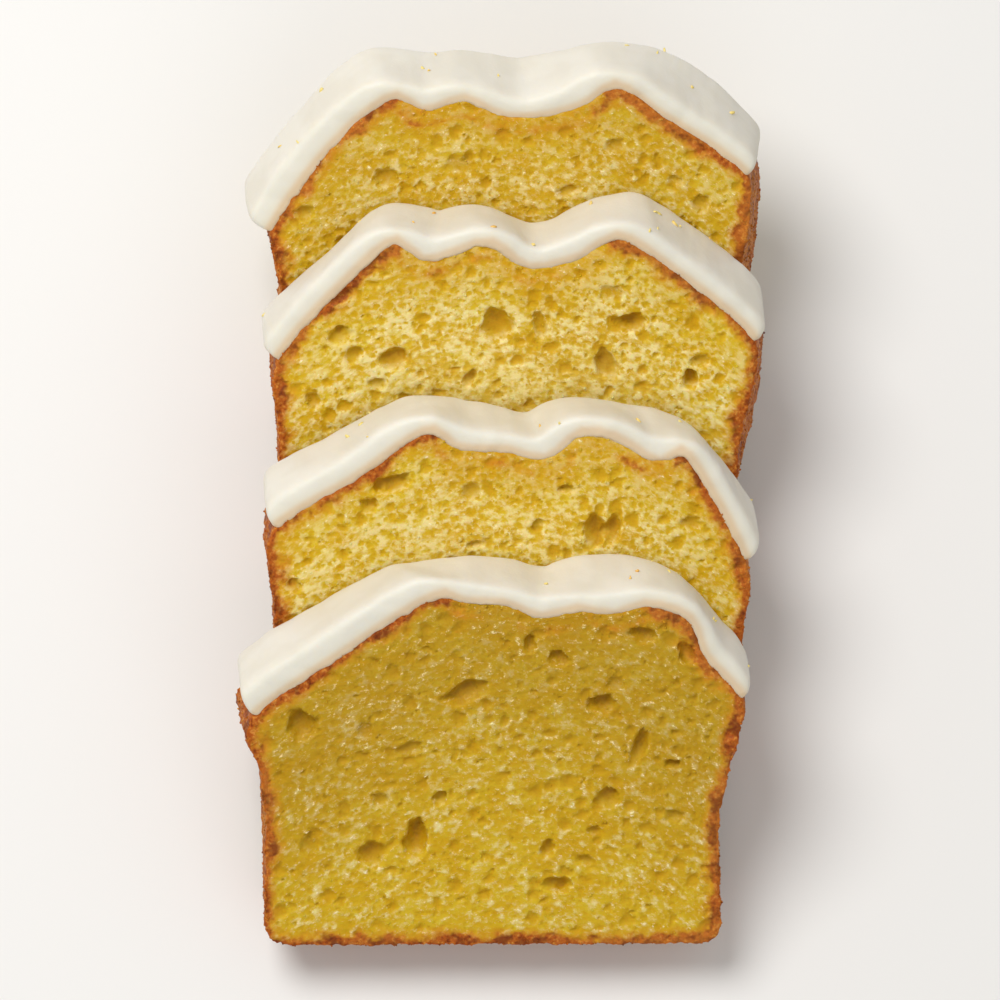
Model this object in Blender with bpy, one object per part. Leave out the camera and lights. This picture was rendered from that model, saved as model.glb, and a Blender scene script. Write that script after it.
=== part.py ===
"""Four iced slices of a loaf cake, leaning back on one another in a row.

Lengths are in metres, +Z is up, X runs across the slices and they lean back towards +Y. The origin is on
the surface they stand on, under the middle of the row. Slice 1 is at the back, and slice 4 is in front.

A slice is drawn in its own frame first: x across, height up the cut face from its foot, and depth from
the front cut (0) to the back cut. The loaf's two cuts give its outline at both ends of that depth.
"""

import math
import random
from typing import NamedTuple

import bmesh
import bpy
from mathutils import Matrix, Vector
from mathutils.geometry import delaunay_2d_cdt, interpolate_bezier

MM = 0.001

# The loaf: how thick it is cut, the rounded corners of its foot, and the slices' clearances.
THICKNESS = 17.9 * MM
BASE_CORNER = 4.5 * MM
BASE_SPANS = 14
CORNER_STEPS = 3
GAP = 0.3 * MM
SLICE_GAP = 0.5 * MM

# A soft foot is flattened by this much where it meets what it stands on.
FOOT_SINK = 1.5 * MM

# The icing: its depth on the crown, how far it evens out what it covers, and its rounded edges and ends.
ICING_DEPTH = 3.0 * MM
ICING_LEVELS_OVER = 5 * MM
ICING_LEAST_SHARE = 0.75
ICING_EDGE_ROUND = 1.3 * MM
STEEP = 0.6

# How finely the outline is drawn, and the relief of crust and crumb.
OUTLINE_STEP = 3.1 * MM
CRUST_RELIEF = 0.55 * MM
ICED_CRUST_RELIEF = 0.2 * MM
CRUMB_RELIEF = 0.35 * MM
RELIEF_SPACING = 8 * MM
RELIEF_JITTER = RELIEF_SPACING / 6
RIM_MARGIN = 3.2 * MM

# Open pores in the cut faces: how many each face has, their radii, their distance apart and their shape.
FRONT_PORES = 26
BACK_PORES = 11
PORE_TRIES = 4000
PORE_RADII = (1.0 * MM, 2.5 * MM)
PORE_SPACING = 1.5 * MM
PORE_SIDES = 7
PORE_UNEVENNESS = 0.15
PORE_WIDTH_SHARES = (0.6, 1.0)
PORE_DEPTH_SHARE = 0.75

# Where a slice's sides and its icing have rings of points, as shares of its thickness and in mm from a cut.
CRUST_STATIONS = (0.0, 0.07, 0.36, 0.65, 0.93, 1.0)
ICING_STATIONS = ((0.15, 1.0), (0.7, 0.4), (2.0, 0.0))

# Points closer together than this count as one, and edges sharper than this are shaded as creases.
CLOSE = 1e-7
CREASE_ANGLE = math.radians(45)

CAKE_COLOUR, CAKE_ROUGHNESS = (0.58, 0.38, 0.05, 1.0), 0.8
ICING_COLOUR, ICING_ROUGHNESS = (0.87, 0.83, 0.74, 1.0), 0.4


class Side(NamedTuple):
    """A side of the loaf in mm: half widths, from the rim of the tin that it rose over down to the foot."""

    shoulder: float
    shoulder_height: float
    waist: float
    waist_height: float
    foot: float


class Slice(NamedTuple):
    """One slice, with its lean in degrees and lengths in mm.

    front and back hold the (x, height) landmarks of the two cuts' tops, from the left end of the icing to
    the right one, over the ridges and dips on either side of the cleft where the loaf split. flare says how
    much further the left and the right side stand out at the back cut, each at its shoulder and its waist.
    icing_on_slopes is the icing's depth on the left and right slopes, where it ran down and gathered.
    icing_ends is over what length its left and right ends round off.
    """

    lean: float
    shift: float
    left: Side
    right: Side
    flare: tuple
    icing_on_slopes: tuple
    icing_ends: tuple
    front: tuple
    back: tuple


SLICES = (
    Slice(
        lean=51.5,
        shift=1.0,
        left=Side(45.2, 43.0, 43.2, 34.0, 42.2),
        right=Side(47.3, 50.0, 45.6, 31.0, 43.8),
        flare=((0.8, 0.8), (3.4, 4.2)),
        icing_on_slopes=(4.8, 3.4),
        icing_ends=(2.4, 4.0),
        front=((-45.4, 44.4), (-33.2, 63.2), (-21.0, 73.3), (-16.2, 70.3), (-8.0, 72.7), (-0.2, 69.0),
               (13.6, 71.1), (20.3, 75.7), (28.0, 70.5), (47.0, 56.3)),
        back=((-46.4, 44.4), (-34.4, 61.9), (-22.0, 73.9), (-16.0, 72.0), (-7.0, 73.2), (1.0, 71.4),
              (13.6, 73.0), (23.0, 74.9), (33.2, 71.5), (48.8, 56.3)),
    ),
    Slice(
        lean=51.5,
        shift=1.0,
        left=Side(44.8, 46.0, 43.6, 34.0, 42.6),
        right=Side(48.0, 46.5, 45.8, 34.0, 43.8),
        flare=((0.4, 0.4), (2.8, 4.4)),
        icing_on_slopes=(3.8, 3.2),
        icing_ends=(3.0, 4.6),
        front=((-44.2, 49.3), (-32.2, 64.9), (-21.2, 74.6), (-16.2, 70.7), (-3.2, 74.3), (3.6, 69.2),
               (13.8, 71.6), (20.2, 75.7), (31.0, 68.8), (48.0, 53.2)),
        back=((-44.8, 48.5), (-30.6, 62.3), (-19.4, 73.0), (-14.4, 69.6), (-5.0, 72.2), (3.0, 67.4),
              (12.6, 69.4), (22.4, 75.0), (32.4, 69.2), (49.2, 54.3)),
    ),
    Slice(
        lean=54.3,
        shift=0.6,
        left=Side(45.4, 47.0, 44.0, 36.0, 43.2),
        right=Side(46.9, 40.0, 45.6, 30.0, 44.0),
        flare=((0.5, 0.5), (0.5, 0.5)),
        icing_on_slopes=(4.2, 3.2),
        icing_ends=(3.0, 3.4),
        front=((-44.4, 53.0), (-29.5, 63.4), (-14.0, 73.8), (-9.8, 70.3), (0.0, 69.6), (7.0, 67.8),
               (13.8, 73.3), (20.0, 72.4), (28.8, 67.2), (32.5, 69.6), (39.4, 59.9), (46.2, 45.8)),
        back=((-44.8, 53.5), (-29.4, 63.0), (-14.0, 71.2), (-9.4, 69.9), (-1.0, 68.9), (4.4, 66.2),
              (12.8, 70.8), (20.0, 69.4), (26.0, 68.8), (30.6, 67.8), (38.8, 58.8), (46.8, 47.8)),
    ),
    Slice(
        lean=54.3,
        shift=-1.0,
        left=Side(48.4, 45.1, 45.0, 36.0, 44.2),
        right=Side(46.0, 45.6, 42.5, 27.0, 43.8),
        flare=((1.5, 1.0), (0.3, 0.3)),
        icing_on_slopes=(4.8, 3.0),
        icing_ends=(2.6, 4.4),
        front=((-46.8, 48.3), (-30.3, 61.3), (-10.6, 74.0), (-7.0, 72.3), (0.0, 72.0), (7.6, 69.2),
               (14.2, 70.8), (21.2, 69.6), (26.9, 71.7), (35.4, 68.8), (38.6, 61.2), (46.6, 51.4)),
        back=((-47.6, 48.8), (-31.0, 61.0), (-15.2, 69.5), (-8.0, 70.8), (1.0, 71.0), (8.8, 68.2),
              (13.4, 69.8), (18.6, 71.6), (25.6, 71.4), (33.0, 67.4), (39.4, 60.0), (46.6, 51.2)),
    ),
)


def curve_through(knots, steps):
    """Points along a smooth curve through the knots, with as many steps between two knots as steps says.

    It is a centripetal Catmull-Rom curve, which follows close knots without loops or overshoot.
    """
    run = [2 * knots[0] - knots[1], *knots, 2 * knots[-1] - knots[-2]]
    points = []
    for i, count in enumerate(steps):
        a, b, c, d = run[i:i + 4]
        before, here, after = ((q - p).length ** 0.5 for p, q in ((a, b), (b, c), (c, d)))
        leave = ((b - a) / before - (c - a) / (before + here) + (c - b) / here) * here
        arrive = ((c - b) / here - (d - b) / (here + after) + (d - c) / after) * here
        points += interpolate_bezier(b, b + leave / 3, c - arrive / 3, c, count + 1)[:-1]
    return points + [knots[-1]]


def cut_knots(slice_, at_back):
    """The knots of a cut from its left foot over the crown to its right foot, and how many a side has."""
    sides = []
    for sign, side, flare in ((-1, slice_.left, slice_.flare[0]), (1, slice_.right, slice_.flare[1])):
        at_shoulder, at_waist = flare if at_back else (0.0, 0.0)
        sides.append([
            (sign * side.foot, BASE_CORNER / MM),
            (sign * (side.waist + at_waist), side.waist_height),
            (sign * (side.shoulder + at_shoulder), side.shoulder_height),
        ])
    left, right = sides
    crown = slice_.back if at_back else slice_.front
    return [Vector(knot) * MM for knot in (*left, *crown, *right[::-1])], len(left)


def outline(slice_, at_back):
    """A cut's closed outline, from the left end of its crown clockwise, and how many points the crown has.

    Both cuts take their steps from the front one, so that they match point for point.
    """
    front, on_side = cut_knots(slice_, at_back=False)
    steps = [max(1, round((b - a).length / OUTLINE_STEP)) for a, b in zip(front, front[1:])]
    knots, _ = cut_knots(slice_, at_back)
    over = curve_through(knots, steps)
    first, last = sum(steps[:on_side]), sum(steps[:-on_side])
    base = []
    right, left = over[-1].x, over[0].x
    for step in range(1, CORNER_STEPS + 1):
        angle = math.pi / 2 * step / CORNER_STEPS
        base.append(Vector((math.cos(angle) - 1, 1 - math.sin(angle))) * BASE_CORNER)
    right_corner = [Vector((right, 0.0)) + p for p in base]
    left_corner = [Vector((left - p.x, p.y)) for p in base[::-1]]
    between = [right_corner[-1].lerp(left_corner[0], k / BASE_SPANS) for k in range(1, BASE_SPANS)]
    return over[first:] + right_corner + between + left_corner + over[:first], last - first + 1


def outward_normals(points, closed):
    """Unit normals of a clockwise outline, pointing away from the cake."""
    count = len(points)
    normals = []
    for i in range(count):
        if closed:
            before, after = points[i - 1], points[(i + 1) % count]
        else:
            before, after = points[max(i - 1, 0)], points[min(i + 1, count - 1)]
        along = (after - before).normalized()
        normals.append(Vector((-along.y, along.x)))
    return normals


def evened_out(points, reach):
    """The line averaged over a reach each way, its ends kept, and the length along it to each point."""
    lengths = [0.0]
    for a, b in zip(points, points[1:]):
        lengths.append(lengths[-1] + (b - a).length)
    made = []
    for here in lengths:
        room = min(reach, here, lengths[-1] - here) + CLOSE
        near = [p for p, length in zip(points, lengths) if abs(length - here) <= room]
        made.append(sum(near, Vector((0.0, 0.0))) / len(near))
    return made, lengths


def icing_section(slice_, crown, trim):
    """The icing's closed section over a crown line: its underside, then its top from right to left.

    trim is how much the top is drawn in, for the rounded front and back edges.
    """
    normals = outward_normals(crown, closed=False)
    under = [p + n * GAP for p, n in zip(crown, normals)]
    level, lengths = evened_out(under, ICING_LEVELS_OVER)
    level_normals = outward_normals(level, closed=False)
    top = []
    for i in range(1, len(level) - 1):
        on_slope = slice_.icing_on_slopes[level_normals[i].x > 0] * MM
        steepness = min(1.0, abs(level_normals[i].x) / STEEP)
        depth = ICING_DEPTH + (on_slope - ICING_DEPTH) * steepness - trim
        for from_end, end in zip((lengths[i], lengths[-1] - lengths[i]), slice_.icing_ends):
            short_of_full = 1 - min(1.0, from_end / (end * MM))
            depth *= math.sqrt(1 - short_of_full * short_of_full)
        raised = level[i] + level_normals[i] * depth
        least = depth * ICING_LEAST_SHARE
        height = (raised - under[i]).dot(normals[i])
        top.append(raised + normals[i] * max(0.0, least - height))
    return under + top[::-1]


def standing(slice_, foot_y):
    """Stands a slice on its back bottom edge at foot_y, leaning back."""
    return (
        Matrix.Translation((slice_.shift * MM, foot_y, -FOOT_SINK))
        @ Matrix.Rotation(math.radians(-slice_.lean), 4, "X")
        @ Matrix.Translation((0.0, -THICKNESS, 0.0))
    )


def front_points(slice_, matrix):
    """The outline of a slice's front cut, icing included, where it stands."""
    points, crown_count = outline(slice_, at_back=False)
    points = points + icing_section(slice_, points[:crown_count], 0.0)
    return [matrix @ Vector((p.x, 0.0, p.y)) for p in points]


def row_matrices():
    """Each slice's placing, from the back of the row: every slice leans on the one behind it."""
    matrices = [standing(SLICES[0], 0.0)]
    for behind, slice_ in zip(SLICES, SLICES[1:]):
        leaning = standing(slice_, 0.0)
        backwards = leaning.to_3x3() @ Vector((0.0, 1.0, 0.0))
        on_back_cut = leaning @ Vector((0.0, THICKNESS, 0.0))
        reach = min((p - on_back_cut).dot(backwards) for p in front_points(behind, matrices[-1]))
        matrices.append(standing(slice_, (reach - SLICE_GAP) / backwards.y))
    return matrices


def inside(point, polygon):
    """Whether a point is inside a closed outline."""
    found = False
    for a, b in zip(polygon, polygon[1:] + polygon[:1]):
        if (a.y > point.y) != (b.y > point.y):
            if point.x < a.x + (point.y - a.y) * (b.x - a.x) / (b.y - a.y):
                found = not found
    return found


def clear_of(point, others, distance):
    """Whether a point is further than a distance from all the others."""
    return all((point - other).length > distance for other in others)


def face_points(rim, pore_count, rng):
    """Points inside a cut face with how deep each lies: open pores, and the uneven crumb between them."""
    low_x, high_x = min(p.x for p in rim), max(p.x for p in rim)
    high_y = max(p.y for p in rim)
    points, depths, pores = [], [], []
    for _ in range(PORE_TRIES):
        if len(pores) == pore_count:
            break
        centre = Vector((rng.uniform(low_x, high_x), rng.uniform(0.0, high_y)))
        radius = PORE_RADII[0] + (PORE_RADII[1] - PORE_RADII[0]) * rng.random() ** 2
        room = all((centre - c).length > radius + r + PORE_SPACING for c, r in pores)
        if not (room and inside(centre, rim) and clear_of(centre, rim, radius + RIM_MARGIN)):
            continue
        pores.append((centre, radius))
        turn = rng.uniform(0.0, math.pi)
        long_way = Vector((math.cos(turn), math.sin(turn)))
        short_way = Vector((-long_way.y, long_way.x)) * rng.uniform(*PORE_WIDTH_SHARES)
        points.append(centre)
        depths.append(radius * PORE_DEPTH_SHARE)
        for k in range(PORE_SIDES):
            angle = math.tau * k / PORE_SIDES
            r = radius * rng.uniform(1 - PORE_UNEVENNESS, 1 + PORE_UNEVENNESS)
            points.append(centre + long_way * (r * math.cos(angle)) + short_way * (r * math.sin(angle)))
            depths.append(0.0)
    row_height = RELIEF_SPACING * math.sqrt(3) / 2
    for row in range(1, int(high_y / row_height) + 1):
        offset = RELIEF_SPACING / 2 * (row % 2)
        for column in range(int((high_x - low_x) / RELIEF_SPACING) + 1):
            jitter = Vector((rng.uniform(-1, 1), rng.uniform(-1, 1))) * RELIEF_JITTER
            p = Vector((low_x + offset + column * RELIEF_SPACING, row * row_height)) + jitter
            if inside(p, rim) and clear_of(p, rim, RIM_MARGIN) and clear_of(p, points, RIM_MARGIN):
                points.append(p)
                depths.append(rng.uniform(0.0, CRUMB_RELIEF))
    return points, depths


def fill_face(mesh, rim_verts, rim, depth, inwards, pore_count, rng):
    """Closes one cut of a slice with its pored face, on the rim's own vertices."""
    points, depths = face_points(rim, pore_count, rng)
    flat = rim + points
    edges = [(i, (i + 1) % len(rim)) for i in range(len(rim))]
    only_inside_edges = 1
    made, _, faces, originals, _, _ = delaunay_2d_cdt(flat, edges, [], only_inside_edges, CLOSE)
    verts = []
    for position, sources in zip(made, originals):
        source = sources[0]
        if source < len(rim):
            verts.append(rim_verts[source])
        else:
            sunk = depth + inwards * depths[source - len(rim)]
            verts.append(mesh.verts.new((position.x, sunk, position.y)))
    for face in faces:
        corners = [verts[i] for i in face]
        mesh.faces.new(corners if inwards > 0 else corners[::-1])


def join_rings(mesh, rings):
    """Faces between rings of points that match one to one."""
    for ring, after in zip(rings, rings[1:]):
        for i in range(len(ring)):
            j = (i + 1) % len(ring)
            mesh.faces.new((ring[i], ring[j], after[j], after[i]))


def cake_mesh(slice_, rng):
    """The slice without its icing: browned sides with relief, and two pored cut faces."""
    mesh = bmesh.new()
    front, crown_count = outline(slice_, at_back=False)
    back, _ = outline(slice_, at_back=True)
    normals = outward_normals(front, closed=True)
    rings = []
    for share in CRUST_STATIONS:
        ring = []
        for i, (a, b) in enumerate(zip(front, back)):
            deepest = ICED_CRUST_RELIEF if i < crown_count else CRUST_RELIEF
            relief = 0.0 if share in (0.0, 1.0) else rng.uniform(0.0, deepest)
            p = a.lerp(b, share) - normals[i] * relief
            ring.append(mesh.verts.new((p.x, share * THICKNESS, p.y)))
        rings.append(ring)
    join_rings(mesh, rings)
    fill_face(mesh, rings[0], front, 0.0, 1.0, FRONT_PORES, rng)
    fill_face(mesh, rings[-1], back, THICKNESS, -1.0, BACK_PORES, rng)
    return mesh


def flatten_foot(mesh):
    """Cuts off what would be below the surface that the slices stand on, and closes the cut."""
    everything = mesh.verts[:] + mesh.edges[:] + mesh.faces[:]
    cut = bmesh.ops.bisect_plane(
        mesh, geom=everything, dist=CLOSE, plane_co=(0, 0, 0), plane_no=(0, 0, -1), clear_outer=True
    )
    foot_edges = [e for e in cut["geom_cut"] if isinstance(e, bmesh.types.BMEdge)]
    bmesh.ops.edgeloop_fill(mesh, edges=foot_edges)


def icing_mesh(slice_):
    """The icing as a closed loft of its section from the front cut to the back one."""
    mesh = bmesh.new()
    front, crown_count = outline(slice_, at_back=False)
    back, _ = outline(slice_, at_back=True)
    edge = [(depth * MM, trim * ICING_EDGE_ROUND) for depth, trim in ICING_STATIONS]
    stations = edge + [(THICKNESS / 2, 0.0)] + [(THICKNESS - depth, trim) for depth, trim in edge[::-1]]
    rings = []
    for depth, trim in stations:
        crown = [a.lerp(b, depth / THICKNESS) for a, b in zip(front[:crown_count], back[:crown_count])]
        section = icing_section(slice_, crown, trim)
        rings.append([mesh.verts.new((p.x, depth, p.y)) for p in section])
    join_rings(mesh, rings)
    for ring in (rings[0], rings[-1]):
        under, top = ring[:crown_count], ring[crown_count:][::-1]
        mesh.faces.new((under[0], under[1], top[0]))
        for i in range(len(top) - 1):
            mesh.faces.new((under[i + 1], under[i + 2], top[i + 1], top[i]))
        mesh.faces.new((under[-2], under[-1], top[-1]))
    return mesh


def to_floor_middle(meshes):
    """Moves all the pieces together, so that the middle of their box is over the origin."""
    points = [v.co for mesh in meshes for v in mesh.verts]
    middle = [(min(p[axis] for p in points) + max(p[axis] for p in points)) / 2 for axis in (0, 1)]
    for mesh in meshes:
        mesh.transform(Matrix.Translation((-middle[0], -middle[1], 0.0)))


def material(name, colour, roughness):
    made = bpy.data.materials.new(name)
    made.use_nodes = True
    shader = made.node_tree.nodes["Principled BSDF"]
    shader.inputs["Base Color"].default_value = colour
    shader.inputs["Roughness"].default_value = roughness
    shader.inputs["Metallic"].default_value = 0.0
    return made


def add_object(name, mesh, surface):
    """Turns a finished piece into an object of triangles that face outwards."""
    bmesh.ops.triangulate(mesh, faces=[f for f in mesh.faces if len(f.verts) > 3])
    bmesh.ops.recalc_face_normals(mesh, faces=mesh.faces)
    data = bpy.data.meshes.new(name)
    mesh.to_mesh(data)
    mesh.free()
    data.shade_smooth()
    data.set_sharp_from_angle(angle=CREASE_ANGLE)
    data.materials.append(surface)
    bpy.context.scene.collection.objects.link(bpy.data.objects.new(name, data))


def main():
    for old in list(bpy.data.objects):
        bpy.data.objects.remove(old)
    surfaces = {
        "cake": material("cake", CAKE_COLOUR, CAKE_ROUGHNESS),
        "icing": material("icing", ICING_COLOUR, ICING_ROUGHNESS),
    }
    pieces = {}
    for number, (slice_, matrix) in enumerate(zip(SLICES, row_matrices()), start=1):
        cake = cake_mesh(slice_, random.Random(number))
        icing = icing_mesh(slice_)
        for kind, mesh in (("cake", cake), ("icing", icing)):
            mesh.transform(matrix)
            pieces[f"slice_{number}_{kind}"] = mesh
        flatten_foot(cake)
    to_floor_middle(pieces.values())
    for name, mesh in pieces.items():
        kind = name.split("_")[-1]
        add_object(name, mesh, surfaces[kind])


main()
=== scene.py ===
"""Looks for a row of four iced loaf cake slices: moist open crumb, browned crust, satin icing with zest.

Each slice's fine surface is made in its own frame and in millimetres: x across, y into the slice from its
front cut, z up the cut face from its foot. It is put back into the row, in metres, when it is finished.
"""

import itertools
import math
from types import SimpleNamespace

import bmesh
import bpy
import numpy as np
from mathutils import Matrix, Vector, noise
from mathutils.bvhtree import BVHTree


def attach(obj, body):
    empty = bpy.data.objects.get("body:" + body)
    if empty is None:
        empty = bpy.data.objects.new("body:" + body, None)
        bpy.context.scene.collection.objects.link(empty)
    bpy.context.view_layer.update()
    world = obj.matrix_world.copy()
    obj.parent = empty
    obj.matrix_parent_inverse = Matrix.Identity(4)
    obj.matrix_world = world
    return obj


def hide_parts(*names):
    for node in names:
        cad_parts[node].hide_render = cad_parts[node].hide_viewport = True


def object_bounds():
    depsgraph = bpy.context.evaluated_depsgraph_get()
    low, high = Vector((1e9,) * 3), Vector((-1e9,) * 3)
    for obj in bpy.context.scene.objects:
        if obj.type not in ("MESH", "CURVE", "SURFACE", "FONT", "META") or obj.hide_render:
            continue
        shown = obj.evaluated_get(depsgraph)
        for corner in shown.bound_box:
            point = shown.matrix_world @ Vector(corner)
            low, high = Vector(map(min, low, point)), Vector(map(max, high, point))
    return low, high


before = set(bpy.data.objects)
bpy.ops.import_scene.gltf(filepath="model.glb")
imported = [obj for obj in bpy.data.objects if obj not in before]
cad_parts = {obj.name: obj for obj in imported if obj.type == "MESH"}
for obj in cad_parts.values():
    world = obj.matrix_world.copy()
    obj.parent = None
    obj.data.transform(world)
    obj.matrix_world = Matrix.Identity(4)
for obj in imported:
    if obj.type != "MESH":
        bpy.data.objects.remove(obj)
cad_box = [list(corner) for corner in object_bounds()]

MM = 0.001
TO_A_SQUARE_METRE = (1 / MM) ** 2

# Every piece stays inside the frame's box by this much, and points closer together than this are one.
BOX_MARGIN = MM / 1000
CLOSE = MM / 1000

# The camera: how steeply it looks down, and, in metres, how far off it is, how far to one side it stands,
# what it looks at, and how wide a stretch of the row fills the picture.
ELEVATION = math.radians(77)
DISTANCE = 1.2
SIDE_STEP = -0.060
LOOKS_AT = Vector((-0.00029, -0.00127, 0.030))
PICTURE_WIDTH = 0.191

# The floor, in metres: its size, and how far it lies below the slices' flattened feet, so that the two don't
# share a plane.
FLOOR_SIZE = 6.0
FLOOR_DROP = 0.2 * MM

# The slices: how far each leans back from upright, in degrees, and how thick they are cut, in mm.
LEANS = {1: 51.5, 2: 51.5, 3: 54.3, 4: 54.3}
THICKNESS = 17.9

# A slice's patterns start this far along the loaf from those of the slice behind it, in mm, so that no two
# slices are alike.
PATTERN_STEP = 3 * THICKNESS

# Where the loaf split as it rose: how far across the left and the right ridge of each slice are, in mm.
CLEFTS = {1: (-21.0, 20.5), 2: (-21.0, 20.5), 3: (-14.0, 32.5), 4: (-12.0, 27.5)}

# Fine meshes: the size of a facet in mm, how far the cakes are squeezed in depth while they are made, so that
# their sides get longer facets than their cut faces, and how far points are moved at random, in mm, to hide
# the facets' even rows.
CRUMB_FACET = 0.43
ICING_FACET = 0.32
DEPTH_SQUEEZE = 0.62
FACET_JITTER = 0.1

# In the cake's coarse mesh, edges sharper than this stay creased, and points further than this from the
# crust lie on a cut, in mm. In its fine mesh, points this near to a cut's plane belong to the cut, in mm.
CREASE_ABOVE = math.radians(55)
RIM_WIDTH = 1.5
CUT_SLACK = 1.0

# Icing nearer to the cake than this lies on it, and sinks this far into its crust, in mm.
ICING_TOUCHES = 0.45
ICING_BEDDING = 1.6

# How high and deep the fine relief is, in mm, and how many times the icing is evened out as it settles.
SPONGE_RELIEF = {"Pore depth": 0.65, "Small pore depth": 0.25, "Lump height": 0.25, "Crust relief": 1.2}
ICING_RELIEF = {"Unevenness": 0.8, "Raggedness": 1.2}
ICING_SETTLING = 7

# How much painted shade deepens each slice's gold, from 0 for the palest. It is deepest towards the crown.
SHADE_DEEPENING = {1: 0.35, 2: 0.0, 3: 0.08, 4: 1.0}

# The loaf rose to a dome, and its crumb lies in layers along it. In mm, a layer falls by the first of these
# times the square of how far across it is, and its lumps are the second as high as they are wide.
LAYER_FALL = 0.006
LUMP_FLATNESS = 0.75

# How the crumb's many pores lie: their distance apart and the warp of their rims in mm, and their radii as
# shares of that distance.
MEDIUM_PORES = dict(spacing=3.0, smallest=0.12, largest=0.58, warp=1.2)
SMALL_PORES = dict(spacing=1.35, smallest=0.25, largest=0.62, warp=0.6)

# Crumbs that cling to the rims and the cuts, loose grains of the crust, and shreds of zest on the icing: how
# many there are to a square mm, and their sizes in mm.
RIM_CRUMBS = 0.9
FACE_CRUMBS = 0.05
CRUST_GRAINS = 0.5
CRUMB_SIZES = (0.25, 0.7)
ZEST_SHREDS = 0.007
ZEST_SIZES = (1.1, 2.0)

# Open pores that can be told apart on each front cut, in mm: x, height, half width, half height, tilt in
# degrees and depth.
LARGE_PORES = {
    1: ((-37.7, 48.8, 2.0, 1.6, 10, 1.4), (-22.2, 56.1, 2.6, 2.0, 15, 1.2), (-8.1, 58.6, 3.1, 2.1, 0, 0.9),
        (38.1, 50.9, 1.7, 2.0, 0, 1.3), (33.0, 55.8, 1.7, 0.9, -10, 1.0), (12.4, 53.5, 2.6, 1.1, 20, 1.0),
        (21.3, 62.8, 2.0, 1.7, 0, 1.0)),
    2: ((-1.4, 56.8, 3.2, 3.6, 10, 1.9), (6.8, 56.6, 1.4, 3.3, 12, 1.4), (24.0, 57.3, 3.1, 2.0, 0, 2.3),
        (-31.1, 54.7, 2.6, 1.8, 30, 1.4), (-28.6, 50.6, 1.4, 2.2, -35, 1.6), (-20.8, 49.7, 2.9, 2.4, 25, 1.8),
        (19.7, 48.5, 2.1, 3.6, 25, 1.9), (-6.5, 45.6, 1.0, 2.2, -30, 1.4), (35.8, 45.6, 1.4, 2.1, 0, 3.2),
        (-36.0, 41.0, 1.5, 1.7, 0, 1.7), (-23.9, 44.5, 1.7, 1.4, 0, 1.2), (37.4, 49.4, 2.0, 1.4, 10, 1.3),
        (20.1, 63.3, 2.6, 2.0, 0, 0.8), (-30.5, 62.6, 2.8, 1.1, 28, 1.4)),
    3: ((-21.5, 62.3, 3.8, 1.7, 18, 2.4), (-25.8, 57.8, 1.7, 1.5, 35, 1.6), (-6.5, 60.7, 2.1, 1.8, 20, 1.2),
        (11.2, 61.3, 1.8, 0.8, 0, 1.6), (16.9, 52.6, 2.3, 3.6, 0, 2.2), (20.0, 52.8, 1.7, 3.3, -15, 2.0),
        (6.1, 54.1, 1.5, 0.9, 35, 1.2), (35.0, 54.3, 2.2, 1.3, -10, 1.3), (-5.7, 50.0, 2.0, 0.7, 10, 1.2),
        (-40.0, 41.6, 1.5, 1.5, 0, 1.3)),
    4: ((-38.4, 46.4, 3.0, 3.1, 25, 2.9), (-7.6, 53.4, 4.7, 2.0, 20, 2.3), (17.8, 50.8, 2.9, 1.8, 0, 2.7),
        (9.5, 60.3, 2.0, 1.5, -35, 1.8), (4.0, 63.2, 1.1, 2.0, 0, 2.1), (25.1, 65.0, 2.9, 1.5, -12, 2.0),
        (25.0, 41.9, 1.4, 4.0, -18, 2.2), (31.2, 38.6, 1.5, 0.8, 0, 2.2), (19.3, 31.3, 2.2, 2.3, 0, 1.9),
        (-16.7, 22.6, 2.2, 4.6, -4, 3.2), (-25.0, 19.7, 2.9, 2.8, 20, 2.1), (-12.3, 31.4, 1.4, 1.5, 0, 1.7),
        (10.2, 13.1, 3.1, 1.6, 0, 2.0), (8.1, 20.7, 1.3, 2.0, -20, 1.8), (17.0, 24.4, 1.5, 1.1, 0, 1.4),
        (15.4, 18.3, 2.0, 1.1, -20, 1.3), (-18.3, 41.6, 3.0, 1.4, 15, 1.3), (-23.6, 31.0, 1.7, 1.6, 0, 1.1),
        (-37.0, 21.5, 1.7, 2.6, 0, 1.1), (-26.4, 45.4, 1.7, 2.0, 30, 1.0), (32.1, 27.5, 2.0, 1.4, 0, 1.2),
        (20.3, 55.0, 1.8, 1.7, 0, 1.0), (33.6, 61.0, 1.5, 2.6, 30, 2.4)),
}

# Random draws start from this.
SEED = 11


def linear(code):
    """An sRGB hex colour as Blender's linear one."""
    shares = [int(code[i:i + 2], 16) / 255 for i in (1, 3, 5)]
    return (*(c / 12.92 if c <= 0.04045 else ((c + 0.055) / 1.055) ** 2.4 for c in shares), 1.0)


def add(tree, kind, *values, out=0, **settings):
    """Adds a node and gives one of its outputs, or all of them if out is None.

    values fill its inputs in order, or are one dictionary by the inputs' names or numbers. Each is a
    constant, or the socket that feeds the input.
    """
    made = tree.nodes.new(kind)
    for name, value in settings.items():
        setattr(made, name, value)
    by_input = values[0] if values and isinstance(values[0], dict) else dict(enumerate(values))
    for key, value in by_input.items():
        if isinstance(value, bpy.types.NodeSocket):
            tree.links.new(value, made.inputs[key])
        else:
            made.inputs[key].default_value = value
    return made.outputs if out is None else made.outputs[out]


def product(tree, start, *factors):
    """A value multiplied by each factor in turn."""
    for factor in factors:
        start = add(tree, "ShaderNodeMath", start, factor, operation="MULTIPLY")
    return start


def weighted_sum(tree, start, *terms):
    """A value plus each term's value times its weight."""
    for value, weight in terms:
        start = add(tree, "ShaderNodeMath", value, weight, start, operation="MULTIPLY_ADD")
    return start


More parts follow.
